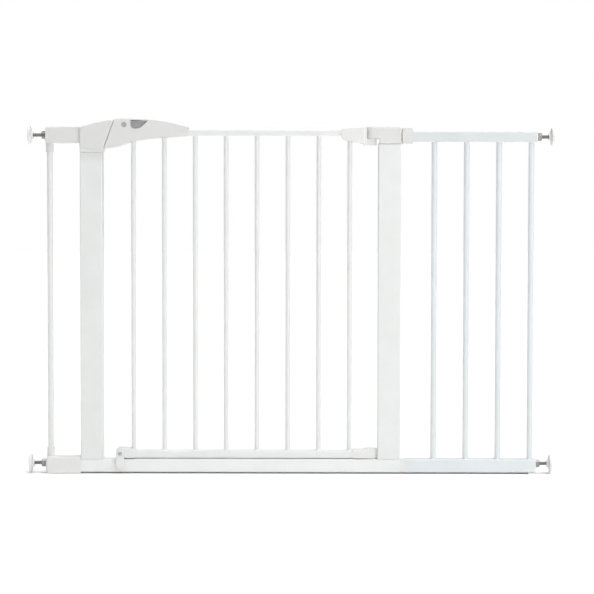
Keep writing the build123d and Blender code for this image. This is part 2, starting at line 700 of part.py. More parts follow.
def door_foot_end():
    return HINGE_X - LOWER_KNUCKLE_RADIUS - LOWER_RAIL_GAP


def door_bottom_rail():
    return rail_x(door_foot_start(), door_foot_end(), DOOR_FOOT_Z0, DOOR_FOOT_Z1, DOOR_RAIL_DEPTH)


def door_bars():
    return Compound(
        children=[welded_bar(x, DOOR_FOOT_Z1, DOOR_TOP_Z0, DOOR_BAR_RADIUS) for x in door_bar_xs()]
    )


def upper_hinge_wing():
    """The bracket on the door's top rail, with a tongue that turns under the post's nose."""
    x0 = WING_FACE - WING_LENGTH
    top = HOUSING_TOP
    low = NOSE_Z - FIT - TONGUE_HEIGHT
    tip_z0 = DOOR_TOP_Z0 - WING_LIP
    tip_z1 = DOOR_TOP_Z1 + WING_CROWN
    belly = (x0 + WING_BELLY[0], low + WING_BELLY[1])
    outline = [
        Line((x0, tip_z0), (x0, tip_z1)),
        Line((x0, tip_z1), (WING_FACE, top)),
        Line((WING_FACE, top), (WING_FACE, low + WING_LIP)),
        Line((WING_FACE, low + WING_LIP), belly),
        Spline(belly, (x0, tip_z0), tangents=WING_SWEEPS),
    ]
    wing = slab(outline, -WING_DEPTH / 2, WING_DEPTH / 2)
    wing = fillet(wing.edges().filter_by(Axis.Z).group_by(Axis.X)[-1], WING_ROUND)
    wing = fillet(wing.edges().group_by(Axis.Z)[-1], FACE_ROUND)
    tongue = block(WING_FACE - WING_ROUND, HINGE_X, -TONGUE_RADIUS, TONGUE_RADIUS, low, NOSE_Z - FIT)
    tongue = tongue + round_z(TONGUE_RADIUS, low, NOSE_Z - FIT, HINGE_X)
    solid = wing + tongue
    half = DOOR_RAIL_DEPTH / 2 + SEAT
    rail_end = WING_FACE - WING_SEAT + SEAT
    rail_room = block(x0 - CLEAR, rail_end, -half, half, DOOR_TOP_Z0 - SEAT, DOOR_TOP_Z1 + SEAT)
    bar_room = round_z(DOOR_BAR_RADIUS + WELD + SEAT, low - CLEAR, DOOR_TOP_Z0, door_bar_xs()[-1])
    bore = round_z(PIN_RADIUS + PIN_RUNNING, low - CLEAR, NOSE_Z + CLEAR, HINGE_X)
    return solid - rail_room - bar_room - bore


def lower_hinge_bracket():
    x0 = WING_FACE - LOWER_SLEEVE
    z0 = BASE_HEIGHT + WASHER_THICKNESS + FIT
    z1 = DOOR_FOOT_Z1 + LOWER_SLEEVE_RISE
    half = WING_DEPTH / 2
    radius = LOWER_KNUCKLE_RADIUS
    sleeve = soften(block(x0, WING_FACE, -half, half, z0, z1), BRACKET_ROUND)
    knuckle = round_z(radius, z0, z1 + LOWER_KNUCKLE_RISE, HINGE_X)
    neck = block(WING_FACE - BRACKET_ROUND, HINGE_X, -radius, radius, z0, z1 + LOWER_KNUCKLE_RISE)
    rail_half = DOOR_RAIL_DEPTH / 2 + SEAT
    rail_room = block(
        x0 - CLEAR, door_foot_end() + SEAT, -rail_half, rail_half, DOOR_FOOT_Z0 - SEAT, DOOR_FOOT_Z1 + SEAT
    )
    bore = round_z(PIN_RADIUS + PIN_RUNNING, z0 - CLEAR, DOOR_FOOT_Z1 + CLEAR, HINGE_X)
    cap = knuckle + neck
    cap = fillet(cap.edges().group_by(Axis.Z)[-1], FACE_ROUND)
    return sleeve + cap - rail_room - bore


def foot_sleeve():
    """The plastic end on the door's bottom rail that carries the swing stop."""
    x0 = POST_L1 + SLEEVE_INSET
    x1 = x0 + SLEEVE_LENGTH
    z0 = DOOR_FOOT_Z0 - SLEEVE_BELOW
    z1 = DOOR_FOOT_Z1 + SLEEVE_ABOVE
    hump = STOP_X + SLEEVE_HUMP
    corners = [(x0, z0), (x0, SLEEVE_TOP), (hump, SLEEVE_TOP), (x1, z1), (x1, z0), (x0, z0)]
    half = SLEEVE_DEPTH / 2
    body = slab([Polyline(*corners)], -half, half)
    upper = body.edges().filter_by(Axis.Y).group_by(Axis.Z)[-1]
    body = fillet(upper, SLEEVE_ROUND)
    body = round_sides(body, FACE_ROUND)
    rail_half = DOOR_RAIL_DEPTH / 2 + SEAT
    rail_room = block(
        door_foot_start() - SEAT, x1 + CLEAR, -rail_half, rail_half, DOOR_FOOT_Z0 - SEAT, DOOR_FOOT_Z1 + SEAT
    )
    bar_x = door_bar_xs()[0]
    bar_room = round_z(DOOR_BAR_RADIUS + WELD + SEAT, DOOR_FOOT_Z1 - CLEAR, SLEEVE_TOP + CLEAR, bar_x)
    bore = round_y(STOP_SCREW_RADIUS, -half - CLEAR, STOP_SCREW_GRIP - half, STOP_X, STOP_HEIGHT)
    return body - rail_room - bar_room - bore


def stop_tab():
    """A capsule that hangs in front of the base rail, and turns up out of its way."""
    y1 = -SLEEVE_DEPTH / 2 - FIT
    y0 = y1 - STOP_THICKNESS
    foot_z = STOP_HEIGHT - STOP_REACH
    disc = round_y(STOP_RADIUS, y0, y1, STOP_X, STOP_HEIGHT)
    strap = block(STOP_X - STOP_RADIUS, STOP_X + STOP_RADIUS, y0, y1, foot_z, STOP_HEIGHT)
    tab = disc + strap + round_y(STOP_RADIUS, y0, y1, STOP_X, foot_z)
    tab = fillet(tab.faces().sort_by(Axis.Y)[0].edges(), FACE_ROUND)
    return tab - round_y(STOP_SCREW_RADIUS + PIN_RUNNING, y0 - CLEAR, y1 + CLEAR, STOP_X, STOP_HEIGHT)


def stop_screw():
    y1 = -SLEEVE_DEPTH / 2 - FIT - STOP_THICKNESS - SEAT
    y0 = y1 - STOP_SCREW_RISE
    head = round_y(STOP_SCREW_HEAD, y0, y1, STOP_X, STOP_HEIGHT)
    head = fillet(head.edges().sort_by(Axis.Y)[0], STOP_SCREW_RISE / 2)
    for width, height in ((STOP_SCREW_CROSS, STOP_SCREW_SLOT), (STOP_SCREW_SLOT, STOP_SCREW_CROSS)):
        head = head - block(
            STOP_X - width / 2,
            STOP_X + width / 2,
            y0 - CLEAR,
            y0 + STOP_SCREW_RISE / 2,
            STOP_HEIGHT - height / 2,
            STOP_HEIGHT + height / 2,
        )
    return head + round_y(STOP_SCREW_RADIUS, y1, STOP_SCREW_GRIP - SLEEVE_DEPTH / 2, STOP_X, STOP_HEIGHT)


# ---- hinge side of the frame ----
def upper_hinge_housing():
    """Cap on the right post, with a round nose that holds the hinge pin over the door's tongue."""
    half = HOUSING_DEPTH / 2
    cap_x = POST_R0 + PLASTIC_WALL
    cap = block(cap_x, POST_R1, -half, half, HOUSING_Z, HOUSING_TOP)
    nose = block(HINGE_X, cap_x + CLEAR, -half, half, NOSE_Z, HOUSING_TOP)
    nose = nose + round_z(half, NOSE_Z, HOUSING_TOP, HINGE_X)
    skirt = block(POST_R0, cap_x + CLEAR, -half, half, HOUSING_Z, HOUSING_Z + PLASTIC_WALL / 2)
    solid = cap + nose + skirt
    solid = fillet(solid.edges().group_by(Axis.Z)[-1], BRACKET_ROUND)
    inner_y = half - HOUSING_GROOVE_DEPTH
    groove_top = HOUSING_Z + HOUSING_GROOVE_HEIGHT
    for side in (-1, 1):
        y0, y1 = sorted((side * inner_y, side * (half + CLEAR)))
        solid = solid - block(POST_R0 - CLEAR, POST_R1 + CLEAR, y0, y1, HOUSING_Z - CLEAR, groove_top)
    half_y, half_z = panel_tongue()
    room = block(
        POST_R1 - SPIGOT_LENGTH - SEAT,
        POST_R1 + CLEAR,
        -half_y - SEAT,
        half_y + SEAT,
        SPINDLE_Z_RIGHT - half_z - SEAT,
        SPINDLE_Z_RIGHT + half_z + SEAT,
    )
    bore = round_z(PIN_RADIUS, NOSE_Z - CLEAR, HOUSING_TOP - PIN_BELOW_CAP, HINGE_X)
    return solid - room - bore + post_spigot(POST_R0, HOUSING_Z)


def upper_hinge_pin():
    low = NOSE_Z - FIT - TONGUE_HEIGHT + PIN_CHAMFER
    pin = round_z(PIN_RADIUS, low, HOUSING_TOP - PIN_BELOW_CAP, HINGE_X)
    return chamfer(pin.edges().group_by(Axis.Z)[0], PIN_CHAMFER)


# ---- right extension ----
def panel_tongue():
    return PANEL_RAIL_DEPTH / 2 - STEEL_WALL - SEAT, PANEL_RAIL_HEIGHT / 2 - STEEL_WALL - SEAT


def panel_bar_xs():
    first = POST_R1 + PANEL_BAR_FIRST
    pitch = (PANEL_END - PANEL_BAR_LAST - first) / (PANEL_BAR_COUNT - 1)
    return [first + i * pitch for i in range(PANEL_BAR_COUNT)]


def panel_rail_start():
    return POST_R1 + CONNECTOR_GAP + CONNECTOR_SEAT


def panel_top_rail():
    return rail_x(panel_rail_start(), PANEL_END, PANEL_TOP_Z0, PANEL_TOP_Z1, PANEL_RAIL_DEPTH)


def panel_bottom_rail():
    return rail_x(POST_R1 + CONNECTOR_SPACER, PANEL_END, BASE_RAISE, BASE_HEIGHT, POST_DEPTH)


def panel_bars():
    return Compound(
        children=[welded_bar(x, BASE_HEIGHT, PANEL_TOP_Z0, PANEL_BAR_RADIUS) for x in panel_bar_xs()]
    )


def top_connector():
    """Sleeve around the panel's top rail, with a tongue into the hinge housing and one into the rail."""
    half_y = PANEL_RAIL_DEPTH / 2 + CONNECTOR_WALL
    z0 = PANEL_TOP_Z0 - CONNECTOR_BELOW
    z1 = PANEL_TOP_Z1 + CONNECTOR_ABOVE
    x0 = POST_R1 + CONNECTOR_GAP
    sleeve = block(x0, x0 + CONNECTOR_SLEEVE, -half_y, half_y, z0, z1)
    corner = sleeve.edges().filter_by(Axis.Y).sort_by(lambda e: e.center().X + e.center().Z)[-1]
    sleeve = fillet(corner, BRACKET_ROUND)
    rail_half = PANEL_RAIL_DEPTH / 2 + SEAT
    sleeve = sleeve - block(
        panel_rail_start() - SEAT, x0 + CONNECTOR_SLEEVE + CLEAR, -rail_half, rail_half,
        PANEL_TOP_Z0 - SEAT, PANEL_TOP_Z1 + SEAT,
    )
    return sleeve + rail_spigot(
        POST_R1 - SPIGOT_LENGTH, x0 + CONNECTOR_SLEEVE, PANEL_TOP_Z0, PANEL_TOP_Z1, PANEL_RAIL_DEPTH
    )


def bottom_connector():
    """Spacer between the base rail and the panel's bottom rail, with a tongue into each."""
    x1 = POST_R1 + CONNECTOR_SPACER
    half = POST_DEPTH / 2 - SPACER_INSET
    spacer = block(POST_R1, x1, -half, half, BASE_RAISE + SPACER_INSET, BASE_HEIGHT - SPACER_INSET)
    tongue = rail_spigot(POST_R1 - SPIGOT_LENGTH, x1 + SPIGOT_LENGTH, BASE_RAISE, BASE_HEIGHT, POST_DEPTH)
    return soften(spacer, BASE_ROUND - SPACER_INSET) + tongue


def end_plug(z0, z1, depth, axis_z):
    """Cap and tongue in a rail's open end, bored for the spindle."""
    cap = soften(block(PANEL_END, RIGHT_END, -depth / 2, depth / 2, z0, z1), BASE_ROUND)
    cap = cap + rail_spigot(PANEL_END - SPIGOT_LENGTH, PANEL_END, z0, z1, depth)
    return cap - round_x(ROD_RADIUS + FIT, PANEL_END - SPIGOT_LENGTH - CLEAR, RIGHT_END + CLEAR, 0, axis_z)


def foot_plug():
    """The lower rail's plug, with a sole that carries the panel's end on the floor."""
    half = POST_DEPTH / 2
    sole = block(PANEL_END - PLUG_FOOT, RIGHT_END, -half, half, 0, BASE_RAISE - SEAT)
    web = block(PANEL_END + SEAT, RIGHT_END, -half, half, 0, BASE_HEIGHT / 2)
    bore = round_x(ROD_RADIUS + FIT, PANEL_END, RIGHT_END + CLEAR, 0, SPINDLE_ABOVE_FLOOR)
    return end_plug(BASE_RAISE, BASE_HEIGHT, POST_DEPTH, SPINDLE_ABOVE_FLOOR) + sole + (web - bore)


# ---- left extension ----
def left_rod_bore(axis_z):
    """Room for the rod, screwed all the way in."""
    shown = PAD_NECK + PAD_CONE + THREAD_LEFT + NUT_THICKNESS
    deep = ROD_LENGTH - shown + ROD_TRAVEL_IN + FOOT_OVERHANG
    return round_x(ROD_RADIUS + FIT, FOOT_END - CLEAR, LEFT_END + deep, 0, axis_z)


def side_bar_x():
    """The bar's socket is flush with the upper bracket's outer end."""
    return LEFT_END + SOCKET_RADIUS


def top_bracket():
    half = BRACKET_DEPTH / 2
    body = block(LEFT_END, POST_L0, -half, half, BRACKET_Z0, BRACKET_Z1)
    body = soften(body, BRACKET_ROUND)
    x = side_bar_x()
    body = body + round_z(SOCKET_RADIUS, BRACKET_Z0 - SOCKET_LENGTH, BRACKET_Z0 + BRACKET_ROUND, x)
    half_y, half_z = bracket_socket()
    z0 = SPINDLE_Z_LEFT - half_z
    z1 = SPINDLE_Z_LEFT + half_z
    tongue = block(POST_L0 - CLEAR, POST_L0 + SPIGOT_LENGTH, -half_y, half_y, z0, z1)
    bar_room = round_z(SIDE_BAR_RADIUS, BRACKET_Z0 - SOCKET_LENGTH - CLEAR, BRACKET_Z0 + BAR_SEAT, x)
    return body + tongue - left_rod_bore(SPINDLE_Z_LEFT) - bar_room


def bottom_bracket():
    half = FOOT_BRACKET_DEPTH / 2
    body = block(FOOT_END, POST_L0, -half, half, 0, FOOT_BRACKET_HEIGHT)
    body = soften(body, BRACKET_ROUND)
    ends = body.edges().filter_by(Axis.Z).group_by(Axis.X)[0]
    body = fillet(ends, FOOT_END_ROUND)
    x = side_bar_x()
    socket_top = FOOT_BRACKET_HEIGHT + SOCKET_LENGTH
    body = body + round_z(SOCKET_RADIUS, FOOT_BRACKET_HEIGHT - BRACKET_ROUND, socket_top, x)
    tongue = rail_spigot(POST_L0 - CLEAR, POST_L0 + SPIGOT_LENGTH, BASE_RAISE, BASE_HEIGHT, POST_DEPTH)
    bar_room = round_z(SIDE_BAR_RADIUS, FOOT_BRACKET_HEIGHT - BAR_SEAT, socket_top + CLEAR, x)
    return body + tongue - left_rod_bore(SPINDLE_ABOVE_FLOOR) - bar_room


def left_bar():
    z0 = FOOT_BRACKET_HEIGHT - BAR_SEAT
    z1 = BRACKET_Z0 + BAR_SEAT
    tube = round_z(SIDE_BAR_RADIUS, z0, z1, side_bar_x())
    return tube - round_z(SIDE_BAR_RADIUS - BAR_WALL, z0 - CLEAR, z1 + CLEAR, side_bar_x())


# ---- wall spindles, made pointing left from the face that the nut turns against ----
def spindle_rod(thread):
    x1 = -FIT - NUT_THICKNESS - thread
    return round_x(ROD_RADIUS, x1 - PAD_NECK - PAD_CONE, x1 - PAD_NECK - PAD_CONE + ROD_LENGTH, 0, 0)


def spindle_nut():
    nut = extrude(RegularPolygon(NUT_FLATS / 2, 6, major_radius=False), NUT_THICKNESS)
    nut = Pos(-FIT - NUT_THICKNESS, 0, 0) * Rot(0, 90, 0) * nut
    nut = nut & round_x(NUT_FLATS / 2 + NUT_TURNED, -FIT - NUT_THICKNESS, -FIT, 0, 0)
    return nut - round_x(ROD_RADIUS + ROD_RUNNING, -FIT - NUT_THICKNESS - CLEAR, 0, 0, 0)


def wall_pad(thread):
    """A disc with a coned neck that grips the rod's end."""
    neck = -FIT - NUT_THICKNESS - thread
    cone = neck - PAD_NECK
    disc = cone - PAD_CONE
    wall = disc - PAD_DISC
    half = [
        Line((neck, 0), (neck, PAD_NECK_RADIUS)),
        Line((neck, PAD_NECK_RADIUS), (cone, PAD_NECK_RADIUS)),
        Line((cone, PAD_NECK_RADIUS), (disc, PAD_RADIUS - PAD_ROUND)),
        CenterArc((disc - PAD_ROUND, PAD_RADIUS - PAD_ROUND), PAD_ROUND, 0, 90),
        Line((disc - PAD_ROUND, PAD_RADIUS), (wall + PAD_ROUND / 2, PAD_RADIUS)),
        CenterArc((wall + PAD_ROUND / 2, PAD_RADIUS - PAD_ROUND / 2), PAD_ROUND / 2, 90, 90),
        Line((wall, PAD_RADIUS - PAD_ROUND / 2), (wall, 0)),
        Line((wall, 0), (neck, 0)),
    ]
    pad = revolve(face_xz(half), Axis.X)
    pad = pad - round_x(ROD_RADIUS, disc, neck + CLEAR, 0, 0)
    return pad - round_x(FACE_RADIUS, wall - CLEAR, wall + FACE_THICKNESS - FACE_PROUD, 0, 0)


def pad_face(thread):
    wall = -FIT - NUT_THICKNESS - thread - PAD_LENGTH
    disc = round_x(FACE_RADIUS, wall - FACE_PROUD, wall + FACE_THICKNESS - FACE_PROUD, 0, 0)
    return fillet(disc.edges().sort_by(Axis.X)[0], FACE_PROUD / 2)


def spindle_pieces(thread):
    return {
        "rod": spindle_rod(thread),
        "nut": spindle_nut(),
        "pad": wall_pad(thread),
        "pad_face": pad_face(thread),
    }


def spindles():
    """Where each spindle stands, how much thread it shows, and which way it points."""
    turned = Rot(0, 0, 180)
    return {
        "left_top": (Pos(LEFT_END, 0, SPINDLE_Z_LEFT), THREAD_LEFT),
        "left_bottom": (Pos(FOOT_END, 0, SPINDLE_ABOVE_FLOOR), THREAD_LEFT - FOOT_OVERHANG),
        "right_top": (Pos(RIGHT_END, 0, SPINDLE_Z_RIGHT) * turned, THREAD_RIGHT),
        "right_bottom": (Pos(RIGHT_END, 0, SPINDLE_ABOVE_FLOOR) * turned, THREAD_RIGHT),
    }


def build():
    lock_front, lock_rear = lock_shells()
    handle_front, handle_rear = handle_shells()
    lock_head = LOCK_DEPTH / 2 - SCREW_SINK
    handle_head = HANDLE_DEPTH / 2 - SCREW_SINK
    nodes = {
        "left_post": post(POST_L0, LOCK_Z),
        "right_post": post(POST_R0, HOUSING_Z),
        "base_rail": base_rail(),
        "lower_hinge_pin": lower_hinge_pin(),
        "hinge_washer": hinge_washer(),
        "lock_housing_front": lock_front,
        "lock_housing_rear": lock_rear,
        "lock_housing_screws": Compound(
            children=[screw(x, z, lock_head, SCREW_LENGTH) for x, z in lock_screw_places()]
        ),
        "lock_keeper": keeper(),
        "upper_hinge_housing": upper_hinge_housing(),
        "upper_hinge_pin": upper_hinge_pin(),
        "left_top_bracket": top_bracket(),
        "left_bottom_bracket": bottom_bracket(),
        "left_bar": left_bar(),
        "right_top_connector": top_connector(),
        "right_bottom_connector": bottom_connector(),
        "right_top_rail": panel_top_rail(),
        "right_bottom_rail": panel_bottom_rail(),
        "right_bars": panel_bars(),
        "right_top_plug": end_plug(PANEL_TOP_Z0, PANEL_TOP_Z1, PANEL_RAIL_DEPTH, SPINDLE_Z_RIGHT),
        "right_bottom_plug": foot_plug(),
        "door_top_rail": door_top_rail(),
        "door_bottom_rail": door_bottom_rail(),
        "door_bars": door_bars(),
        "handle_front": handle_front,
        "handle_rear": handle_rear,
        "handle_screws": Compound(
            children=[screw(x, z, handle_head, SCREW_LENGTH) for x, z in handle_screw_places()]
        ),
        "upper_hinge_wing": upper_hinge_wing(),
        "lower_hinge_bracket": lower_hinge_bracket(),
        "foot_sleeve": foot_sleeve(),
        "lock_bolt": lock_bolt(),
        "thumb_slide": thumb_slide(),
        "bolt_spring": bolt_spring(),
        "release_button": release_button(),
        "button_spring": button_spring(),
        "stop_tab": stop_tab(),
        "stop_screw": stop_screw(),
    }
    for place, (position, thread) in spindles().items():
        for piece, shape in spindle_pieces(thread).items():
            nodes[f"{place}_{piece}"] = position * shape
    return nodes


os.makedirs("parts", exist_ok=True)
for name, shape in build().items():
    export_step(shape, f"parts/{name}.step")
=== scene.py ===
import math

import bmesh
import bpy
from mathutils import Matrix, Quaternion, Vector


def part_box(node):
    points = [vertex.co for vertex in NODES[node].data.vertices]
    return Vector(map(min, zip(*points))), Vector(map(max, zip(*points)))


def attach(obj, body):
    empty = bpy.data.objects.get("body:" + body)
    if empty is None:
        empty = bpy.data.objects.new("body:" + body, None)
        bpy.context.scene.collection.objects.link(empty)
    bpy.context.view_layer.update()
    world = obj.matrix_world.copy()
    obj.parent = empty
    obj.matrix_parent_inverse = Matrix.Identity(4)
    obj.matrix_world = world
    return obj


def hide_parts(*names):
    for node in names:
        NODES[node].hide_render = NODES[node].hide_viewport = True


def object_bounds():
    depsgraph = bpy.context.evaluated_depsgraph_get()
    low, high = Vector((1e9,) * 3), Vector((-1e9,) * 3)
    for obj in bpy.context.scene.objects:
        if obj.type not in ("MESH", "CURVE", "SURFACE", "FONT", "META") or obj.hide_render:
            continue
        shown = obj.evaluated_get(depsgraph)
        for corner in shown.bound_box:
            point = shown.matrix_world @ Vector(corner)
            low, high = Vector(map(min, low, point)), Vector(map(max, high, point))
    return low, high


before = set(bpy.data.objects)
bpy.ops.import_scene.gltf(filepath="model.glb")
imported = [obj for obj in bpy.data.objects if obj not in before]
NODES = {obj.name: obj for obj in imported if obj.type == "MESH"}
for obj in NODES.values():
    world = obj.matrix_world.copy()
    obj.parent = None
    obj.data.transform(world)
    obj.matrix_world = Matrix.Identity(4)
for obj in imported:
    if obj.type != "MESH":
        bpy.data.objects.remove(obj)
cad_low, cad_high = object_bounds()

# Everything is in metres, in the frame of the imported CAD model: X to the right, front at -Y, Z up.
MM = 0.001

# ---- the threads, which the CAD keeps as plain cylinders ----
THREAD_PITCH = 1.25 * MM
THREAD_DEPTH = 0.7 * MM
THREAD_FLANK = 2.4  # steepness of the thread's sides
THREAD_SIDES = 28
RINGS_PER_TURN = 8
NUT_CHAMFER = 1.3 * MM  # how far the chamfer runs along a nut's corners
NUT_FACE = 0.95  # radius of a nut's round face, as a share of the distance to its flats
NUT_BORE = 1.02  # its bore, as a share of the rod's radius
NUT_SIDES = 96
CHAMFER_STEPS = 5

# ---- the photograph's view ----
EYE_DISTANCE = 3.6
EYE_HEIGHT = 0.527
EYE_ROLL = 0.0018  # radians
LENS = 103.5
SENSOR = 36.0
AIM_RIGHT = 0.0132

# ---- the studio ----
SKY_LEFT = 0.14
SKY_RIGHT = 0.36
OVERHEAD = 3.0
KEY = 18.0  # watts
KEY_PLACE = (1.5, -2.3, 1.3)
KEY_SIZE = 1.2
CEILING_PLACE = (0.3, -0.4, 3.0)
CEILING_SPREAD = 70.0  # degrees
FLOOR_SIZE = 30.0
FLOOR_DROP = 0.2 * MM  # floor below the feet
FLOOR_SHADES = ((0.93, 0.93, 0.93), (0.95, 0.95, 0.95))

PLACES = ("left_top", "left_bottom", "right_top", "right_bottom")


# ---- shader node helpers ----
def new_material(name):
    """A material, its node tree and its Principled shader."""
    material = bpy.data.materials.new(name)
    material.use_nodes = True
    shader = material.node_tree.nodes["Principled BSDF"]
    return material, material.node_tree, shader


def noise(tree, coordinates, scale, detail=2.0, roughness=0.5):
    """A noise texture; scale is in ripples per metre."""
    node = tree.nodes.new("ShaderNodeTexNoise")
    node.inputs["Scale"].default_value = scale
    node.inputs["Detail"].default_value = detail
    node.inputs["Roughness"].default_value = roughness
    tree.links.new(coordinates, node.inputs["Vector"])
    return node.outputs["Fac"]


def ramp(tree, value, low, high, colours):
    """A colour that runs from the first to the last over a range of value."""
    node = tree.nodes.new("ShaderNodeValToRGB")
    stops = node.color_ramp.elements
    stops[0].position = low
    stops[0].color = (*colours[0], 1.0)
    stops[1].position = high
    stops[1].color = (*colours[1], 1.0)
    tree.links.new(value, node.inputs["Fac"])
    return node.outputs["Color"]


def spread(tree, value, low, high):
    """A number that runs from low to high as value runs over the middle of its range."""
    node = tree.nodes.new("ShaderNodeMapRange")
    node.inputs["From Min"].default_value = 0.3
    node.inputs["From Max"].default_value = 0.7
    node.inputs["To Min"].default_value = low
    node.inputs["To Max"].default_value = high
    tree.links.new(value, node.inputs["Value"])
    return node.outputs["Result"]


def bump(tree, height, depth, strength=1.0, under=None):
    """Raises a surface by a texture, on top of another normal where one is given."""
    node = tree.nodes.new("ShaderNodeBump")
    node.inputs["Strength"].default_value = strength
    node.inputs["Distance"].default_value = depth
    tree.links.new(height, node.inputs["Height"])
    if under is not None:
        tree.links.new(under, node.inputs["Normal"])
    return node.outputs["Normal"]


def rounded_edges(tree, radius):
    """Softens hard edges by a small radius, as paint and moulding do."""
    node = tree.nodes.new("ShaderNodeBevel")
    node.samples = 4
    node.inputs["Radius"].default_value = radius
    return node.outputs["Normal"]


def object_coordinates(tree):
    """The piece's own coordinates, which follow it as it moves."""
    return tree.nodes.new("ShaderNodeTexCoord").outputs["Object"]


def tint(colour, amount):
    """The colour, lighter or darker, never above full white."""
    return tuple(min(1.0, channel * amount) for channel in colour)


# ---- materials ----
def powder_coat(name, colour):
    """Baked powder paint on steel: a fine orange peel, cloudy gloss and a faint unevenness of film."""
    material, tree, shader = new_material(name)
    place = object_coordinates(tree)
    clouds = noise(tree, place, 22.0, 3.0)
    peel = noise(tree, place, 900.0, 2.0)
    grain = noise(tree, place, 4200.0, 1.0)
    shades = (tint(colour, 0.972), tint(colour, 1.012))
    tree.links.new(ramp(tree, clouds, 0.3, 0.7, shades), shader.inputs["Base Color"])
    tree.links.new(spread(tree, clouds, 0.30, 0.38), shader.inputs["Roughness"])
    shader.inputs["Specular IOR Level"].default_value = 0.5
    normal = bump(tree, peel, 0.00006, 0.5, rounded_edges(tree, 0.0005))
    tree.links.new(bump(tree, grain, 0.00001, 0.4, normal), shader.inputs["Normal"])
    return material


def moulded_plastic(name, colour, roughness=0.42, edge=0.0004):
    """Injection-moulded polypropylene: fine spark-eroded skin and satin gloss."""
    material, tree, shader = new_material(name)
    place = object_coordinates(tree)
    clouds = noise(tree, place, 30.0, 3.0)
    skin = noise(tree, place, 2600.0, 3.0, 0.6)
    sink = noise(tree, place, 90.0, 1.0)
    shades = (tint(colour, 0.985), tint(colour, 1.01))
    tree.links.new(ramp(tree, clouds, 0.3, 0.7, shades), shader.inputs["Base Color"])
    tree.links.new(spread(tree, skin, roughness - 0.05, roughness + 0.06), shader.inputs["Roughness"])
    shader.inputs["Specular IOR Level"].default_value = 0.45
    normal = bump(tree, sink, 0.0002, 0.12, rounded_edges(tree, edge))
    tree.links.new(bump(tree, skin, 0.00003, 0.45, normal), shader.inputs["Normal"])
    return material


def zinc_plate(name, colour, roughness=0.3):
    """Bright zinc on steel: crystalline patches and fine tool marks."""
    material, tree, shader = new_material(name)
    place = object_coordinates(tree)
    patches = noise(tree, place, 420.0, 4.0, 0.65)
    marks = noise(tree, place, 3600.0, 2.0)
    shader.inputs["Metallic"].default_value = 1.0
    shades = (tint(colour, 0.78), tint(colour, 1.1))
    tree.links.new(ramp(tree, patches, 0.3, 0.7, shades), shader.inputs["Base Color"])
    tree.links.new(spread(tree, patches, roughness - 0.07, roughness + 0.1), shader.inputs["Roughness"])
    tree.links.new(bump(tree, marks, 0.00002, 0.5), shader.inputs["Normal"])
    return material


def drawn_wire(name, colour):
    """Spring wire: bright, with fine lines left by the drawing die."""
    material, tree, shader = new_material(name)
    place = object_coordinates(tree)
    lines = noise(tree, place, 5200.0, 1.0)
    shader.inputs["Metallic"].default_value = 1.0
    shades = (tint(colour, 0.8), tint(colour, 1.1))
    tree.links.new(ramp(tree, lines, 0.3, 0.7, shades), shader.inputs["Base Color"])
    tree.links.new(spread(tree, lines, 0.22, 0.4), shader.inputs["Roughness"])
    tree.links.new(bump(tree, lines, 0.00001, 0.4), shader.inputs["Normal"])
    return material


def soft_rubber(name, colour):
    """The pads' soft faces: matt, with a bloom on the surface."""
    material, tree, shader = new_material(name)
    place = object_coordinates(tree)
    bloom = noise(tree, place, 160.0, 4.0, 0.6)
    pores = noise(tree, place, 3000.0, 2.0)
    shades = (tint(colour, 0.93), colour)
    tree.links.new(ramp(tree, bloom, 0.25, 0.75, shades), shader.inputs["Base Color"])
    tree.links.new(spread(tree, bloom, 0.68, 0.85), shader.inputs["Roughness"])
    shader.inputs["Sheen Weight"].default_value = 0.15
    tree.links.new(bump(tree, pores, 0.00006, 0.6), shader.inputs["Normal"])
    return material


def paint_nodes(material, *names):
    """Gives CAD nodes a finish."""
    for name in names:
        mesh = NODES[name].data
        mesh.materials.clear()
        mesh.materials.append(material)


# ---- detailed pieces that stand for plain CAD nodes ----
def ring_surface(name, rings):
    """A closed skin over rings of points, with a flat cap at each end."""
    shape = bmesh.new()
    rows = [[shape.verts.new(point) for point in ring] for ring in rings]
    for row, following in zip(rows, rows[1:]):
        for i, vertex in enumerate(row):
            j = (i + 1) % len(row)
            shape.faces.new((vertex, row[j], following[j], following[i]))
    shape.faces.new(list(reversed(rows[0])))
    shape.faces.new(rows[-1])
    bmesh.ops.recalc_face_normals(shape, faces=shape.faces)
    mesh = bpy.data.meshes.new(name)
    shape.to_mesh(mesh)
    shape.free()
    piece = bpy.data.objects.new(name, mesh)
    bpy.context.scene.collection.objects.link(piece)
    return piece


def hand_over(piece, body, node, material):
    """Puts a finished piece in a CAD node's place, on its body."""
    piece.data.materials.append(material)
    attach(piece, body)
    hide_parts(node)


def threaded_rod(place, material):
    """A rod with a real helical thread, chamfered at both ends."""
    node = f"{place}_rod"
    low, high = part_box(node)
    radius = (high.z - low.z) / 2
    axis_z = (high.z + low.z) / 2
    length = high.x - low.x
    count = round(length / THREAD_PITCH * RINGS_PER_TURN)
    rings = []
    for row in range(count + 1):
        along = length * row / count
        from_end = min(along, length - along)
        ring = []
        for side in range(THREAD_SIDES):
            turn = side / THREAD_SIDES
            phase = (along / THREAD_PITCH + turn) % 1.0
            flank = min(1.0, abs(phase - 0.5) * THREAD_FLANK)
            reach = radius - THREAD_DEPTH * flank
            reach = min(reach, radius - THREAD_DEPTH + from_end)
            angle = 2 * math.pi * turn
            ring.append((low.x + along, reach * math.cos(angle), axis_z + reach * math.sin(angle)))
        rings.append(ring)
    piece = ring_surface(f"{place}_threaded_rod", rings)
    for face in piece.data.polygons:
        face.use_smooth = len(face.vertices) == 4
    hand_over(piece, f"{place}_spindle", node, material)


